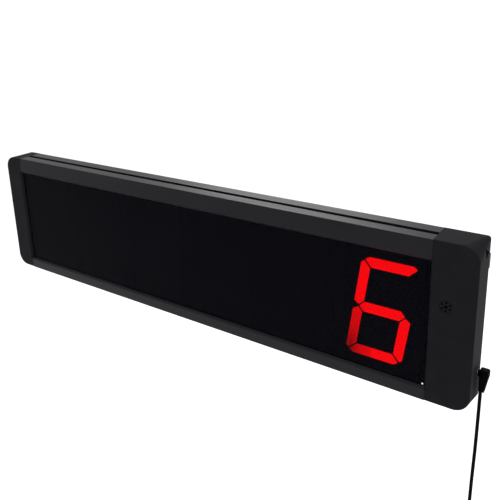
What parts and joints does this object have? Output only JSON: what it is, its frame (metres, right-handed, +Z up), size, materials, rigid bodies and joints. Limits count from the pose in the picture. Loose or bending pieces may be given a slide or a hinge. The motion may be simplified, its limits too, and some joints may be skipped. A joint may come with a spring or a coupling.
{
  "type": "gym round timer",
  "caption": "Wall-hung gym round timer: a long black case with red segment digits behind a smoked lens, keyhole hangers and a plug-in power lead.",
  "frame": {"origin": "on the wall face, midway between the round mouths of the two keyholes", "axes": "+X to the right of someone reading the display, +Y into the wall, +Z up"},
  "size_m": [0.6278, 0.0542, 0.41],
  "materials": {
    "anodised_black": "satin black anodised",
    "panel_black": "matt black sheet",
    "cap_black": "fine matte moulded",
    "lens_smoked": "polished smoked acrylic",
    "foam_black": "soft black foam",
    "screw_zinc": "zinc plated",
    "hanger_black": "black powder coat",
    "reflector_black": "dull moulded",
    "segment_unlit": "translucent, unlit",
    "segment_lit": "translucent, lit from behind",
    "board_green": "solder mask",
    "led_white": "white package",
    "chip_black": "moulded package",
    "connector_black": "moulded",
    "ribbon_grey": "flat cable jacket",
    "tin_plate": "plated",
    "capacitor_sleeve": "shrink sleeve",
    "nickel_contact": "nickel plated",
    "cord_black": "smooth jacket",
    "plug_black": "moulded",
    "adapter_black": "fine texture",
    "ferrite_grey": "core and winding"
  },
  "bodies": {
    "timer": {"back_panel": "panel_black", "bottom_profile": "anodised_black", "buzzer": "chip_black", "case_screws": "screw_zinc", "clock_crystal": "tin_plate", "coin_cell": "tin_plate", "coin_cell_holder": "connector_black", "colon_1_block": "reflector_black", "colon_2_block": "reflector_black", "colon_dots": "segment_unlit", "control_board": "board_green", "control_connector": "connector_black", "control_screws": "screw_zinc", "control_standoffs": "tin_plate", "dc_jack": "connector_black", "dc_jack_pin": "nickel_contact", "dc_jack_tails": "tin_plate", "digit_1_reflector": "reflector_black", "digit_1_segments": "segment_unlit", "digit_2_reflector": "reflector_black", "digit_2_segments": "segment_unlit", "digit_3_reflector": "reflector_black", "digit_3_segments": "segment_unlit", "digit_4_reflector": "reflector_black", "digit_4_segments": "segment_unlit", "digit_5_reflector": "reflector_black", "digit_5_segments": "segment_unlit", "digit_6_dark_segment": "segment_unlit", "digit_6_lit_segments": "segment_lit", "digit_6_reflector": "reflector_black", "display_board": "board_green", "display_connector": "connector_black", "driver_chips": "chip_black", "filter_capacitors": "capacitor_sleeve", "front_lens": "lens_smoked", "left_end_cap": "cap_black", "left_wall_hanger": "hanger_black", "lens_seal_strips": "foam_black", "microcontroller": "chip_black", "remote_receiver": "chip_black", "ribbon_cable": "ribbon_grey", "right_end_cap": "cap_black", "right_wall_hanger": "hanger_black", "segment_leds": "led_white", "top_profile": "anodised_black", "voltage_regulator": "chip_black"},
    "power_lead": {"dc_plug_body": "plug_black", "dc_plug_barrel": "nickel_contact", "plug_strain_relief": "cord_black", "power_cord": "cord_black", "cord_coil": "cord_black", "cord_tie": "plug_black", "adapter_cord": "cord_black", "adapter_strain_relief": "cord_black", "adapter_case": "adapter_black", "adapter_blades": "nickel_contact", "adapter_board": "board_green", "adapter_transformer": "ferrite_grey", "adapter_capacitor": "capacitor_sleeve"}
  },
  "joints": [
    {"name": "plug_pull", "type": "slide", "parent": "timer", "child": "power_lead", "axis": [1, 0, 0], "range_m": [0, 0.012]}
  ]
}
